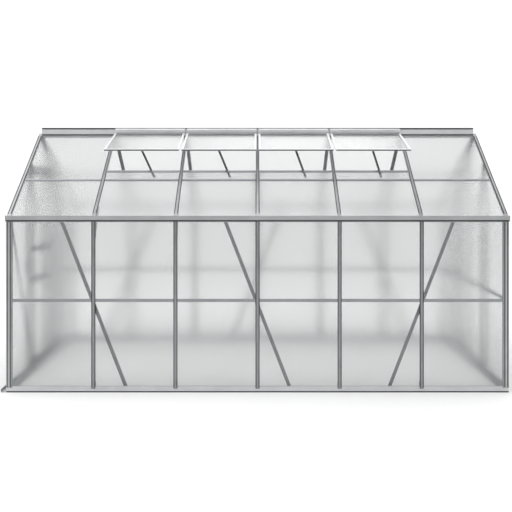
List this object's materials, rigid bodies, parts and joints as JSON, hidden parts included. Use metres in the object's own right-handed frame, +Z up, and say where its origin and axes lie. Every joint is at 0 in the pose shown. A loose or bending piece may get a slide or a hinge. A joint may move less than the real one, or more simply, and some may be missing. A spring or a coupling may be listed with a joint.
{
  "type": "greenhouse",
  "caption": "Walk-in garden greenhouse: bolted aluminium frame, twin-wall sheets, pitched roof with hinged vents on stays, gutters and a sliding gable door.",
  "frame": {"origin": "centre of the whole object's footprint, on the ground", "axes": "+X along the ridge away from the door gable, +Y from the vented slope to the plain slope, +Z up"},
  "size_m": [3.717, 1.876, 1.976],
  "materials": {
    "aluminium_profile": "mill-finish extrusion, satin",
    "polycarbonate": "translucent twin-wall sheet with fine ribs",
    "vent_glazing": "translucent twin-wall sheet, glossier on the vents",
    "black_plastic": "moulded, fine grain",
    "nylon": "turned or moulded nylon",
    "steel": "zinc plated",
    "stay_metal": "dark painted flat bar"
  },
  "bodies": {
    "root": {"base_corner_cleats": "aluminium_profile", "base_front": "aluminium_profile", "base_left": "aluminium_profile", "base_rear": "aluminium_profile", "base_right": "aluminium_profile", "corner_posts": "aluminium_profile", "door_bottom_track": "aluminium_profile", "door_head_rail": "aluminium_profile", "door_head_track": "aluminium_profile", "door_posts": "aluminium_profile", "eave_gussets": "aluminium_profile", "frame_bolts": "steel", "front_gutter": "aluminium_profile", "front_posts": "aluminium_profile", "front_rafters": "aluminium_profile", "front_roof_sheets": "polycarbonate", "front_wall_sheets": "polycarbonate", "gable_braces": "aluminium_profile", "gutter_end_caps": "black_plastic", "left_gable_sheets": "polycarbonate", "middle_strips": "aluminium_profile", "post_cleats": "aluminium_profile", "rear_gutter": "aluminium_profile", "rear_posts": "aluminium_profile", "rear_rafters": "aluminium_profile", "rear_roof_sheets": "polycarbonate", "rear_wall_sheets": "polycarbonate", "ridge_beam": "aluminium_profile", "ridge_gussets": "aluminium_profile", "right_gable_posts": "aluminium_profile", "right_gable_sheets": "polycarbonate", "roof_strips": "aluminium_profile", "stay_pegs": "steel", "vent_sills": "aluminium_profile", "verge_rafters": "aluminium_profile", "wall_braces": "aluminium_profile"},
    "vent_1": {"vent_1_top_rail": "aluminium_profile", "vent_1_frame": "aluminium_profile", "vent_1_sheet": "vent_glazing"},
    "stay_1": {"vent_1_stay": "stay_metal"},
    "vent_2": {"vent_2_top_rail": "aluminium_profile", "vent_2_frame": "aluminium_profile", "vent_2_sheet": "vent_glazing"},
    "stay_2": {"vent_2_stay": "stay_metal"},
    "vent_3": {"vent_3_top_rail": "aluminium_profile", "vent_3_frame": "aluminium_profile", "vent_3_sheet": "vent_glazing"},
    "stay_3": {"vent_3_stay": "stay_metal"},
    "vent_4": {"vent_4_top_rail": "aluminium_profile", "vent_4_frame": "aluminium_profile", "vent_4_sheet": "vent_glazing"},
    "stay_4": {"vent_4_stay": "stay_metal"},
    "door": {"door_stiles": "aluminium_profile", "door_rails": "aluminium_profile", "door_sheets": "polycarbonate", "door_handle": "black_plastic", "door_hangers": "steel", "door_guides": "nylon"},
    "roller_1": {"door_roller_1": "nylon"},
    "roller_2": {"door_roller_2": "nylon"}
  },
  "joints": [
    {"name": "vent_1_hinge", "type": "hinge", "parent": "root", "child": "vent_1", "pos_m": [-0.8815, -0.01, 1.966], "axis": [-1, 0, 0], "range_deg": [-19, 0]},
    {"name": "stay_1_pivot", "type": "hinge", "parent": "vent_1", "child": "stay_1", "pos_m": [-0.8815, -0.51858, 1.77318], "axis": [0, 0.8782, 0.4782], "range_deg": [-71, 0]},
    {"name": "vent_2_hinge", "type": "hinge", "parent": "root", "child": "vent_2", "pos_m": [-0.2815, -0.01, 1.966], "axis": [-1, 0, 0], "range_deg": [-19, 0]},
    {"name": "stay_2_pivot", "type": "hinge", "parent": "vent_2", "child": "stay_2", "pos_m": [-0.2815, -0.51858, 1.77318], "axis": [0, 0.8782, 0.4782], "range_deg": [-71, 0]},
    {"name": "vent_3_hinge", "type": "hinge", "parent": "root", "child": "vent_3", "pos_m": [0.3185, -0.01, 1.966], "axis": [-1, 0, 0], "range_deg": [-19, 0]},
    {"name": "stay_3_pivot", "type": "hinge", "parent": "vent_3", "child": "stay_3", "pos_m": [0.3185, -0.51858, 1.77318], "axis": [0, 0.8782, 0.4782], "range_deg": [-71, 0]},
    {"name": "vent_4_hinge", "type": "hinge", "parent": "root", "child": "vent_4", "pos_m": [0.9185, -0.01, 1.966], "axis": [-1, 0, 0], "range_deg": [-19, 0]},
    {"name": "stay_4_pivot", "type": "hinge", "parent": "vent_4", "child": "stay_4", "pos_m": [0.9185, -0.51858, 1.77318], "axis": [0, 0.8782, 0.4782], "range_deg": [-71, 0]},
    {"name": "door_slide", "type": "slide", "parent": "root", "child": "door", "axis": [0, 1, 0], "range_m": [0, 0.56]},
    {"name": "roller_1_spin", "type": "hinge", "parent": "door", "child": "roller_1", "pos_m": [-1.837, -0.225, 1.6303], "axis": [1, 0, 0], "range_deg": [-3211, 0]},
    {"name": "roller_2_spin", "type": "hinge", "parent": "door", "child": "roller_2", "pos_m": [-1.837, 0.225, 1.6303], "axis": [1, 0, 0], "range_deg": [-3211, 0]}
  ],
  "couplings": [
    {"joint": "stay_1_pivot", "follows": "vent_1_hinge", "ratio": 3.7},
    {"joint": "stay_2_pivot", "follows": "vent_2_hinge", "ratio": 3.7},
    {"joint": "stay_3_pivot", "follows": "vent_3_hinge", "ratio": 3.7},
    {"joint": "stay_4_pivot", "follows": "vent_4_hinge", "ratio": 3.7},
    {"joint": "roller_1_spin", "follows": "door_slide", "rad_per_m": -100},
    {"joint": "roller_2_spin", "follows": "door_slide", "rad_per_m": -100}
  ]
}
